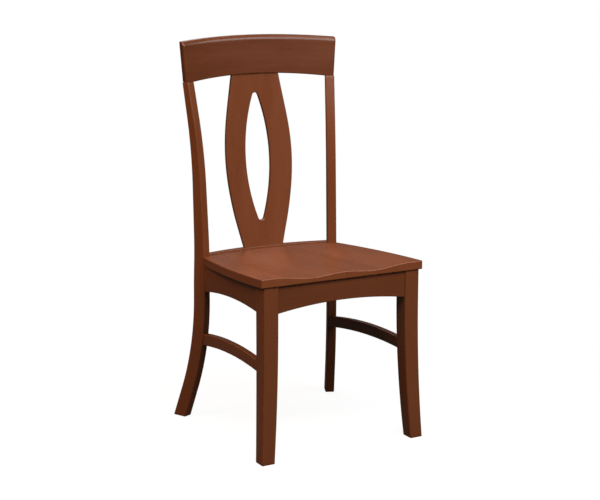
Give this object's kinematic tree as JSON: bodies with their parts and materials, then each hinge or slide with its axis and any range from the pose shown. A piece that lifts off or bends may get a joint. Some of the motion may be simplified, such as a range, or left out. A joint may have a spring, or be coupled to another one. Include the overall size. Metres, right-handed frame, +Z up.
{
  "type": "dining side chair",
  "caption": "Wooden dining side chair with a wide pierced back splat, bowed crest rail, scooped seat, arched aprons and side stretchers.",
  "frame": {"origin": "on the floor under the middle of the chair's box", "axes": "+Z up, the sitter faces -Y, +X to the sitter's left"},
  "size_m": [0.4904, 0.4916, 0.9966],
  "materials": {
    "stained_wood": "cherry-brown stain under satin lacquer",
    "bare_wood": "bare sanded wood",
    "screw_steel": "zinc-plated wood screws"
  },
  "bodies": {
    "root": {"front_leg_right": "stained_wood", "front_leg_left": "stained_wood", "rear_post_right": "stained_wood", "rear_post_left": "stained_wood", "crest_rail": "stained_wood", "back_splat": "stained_wood", "rear_rail": "stained_wood", "front_apron": "stained_wood", "side_apron_right": "stained_wood", "side_apron_left": "stained_wood", "side_stretcher_right": "stained_wood", "side_stretcher_left": "stained_wood", "seat_panel": "stained_wood", "corner_block_front_right": "bare_wood", "corner_block_front_left": "bare_wood", "corner_block_rear_right": "bare_wood", "corner_block_rear_left": "bare_wood", "crest_dowels": "bare_wood", "apron_dowels": "bare_wood", "rail_dowels": "bare_wood", "seat_screws": "screw_steel", "corner_screws": "screw_steel"}
  },
  "joints": []
}
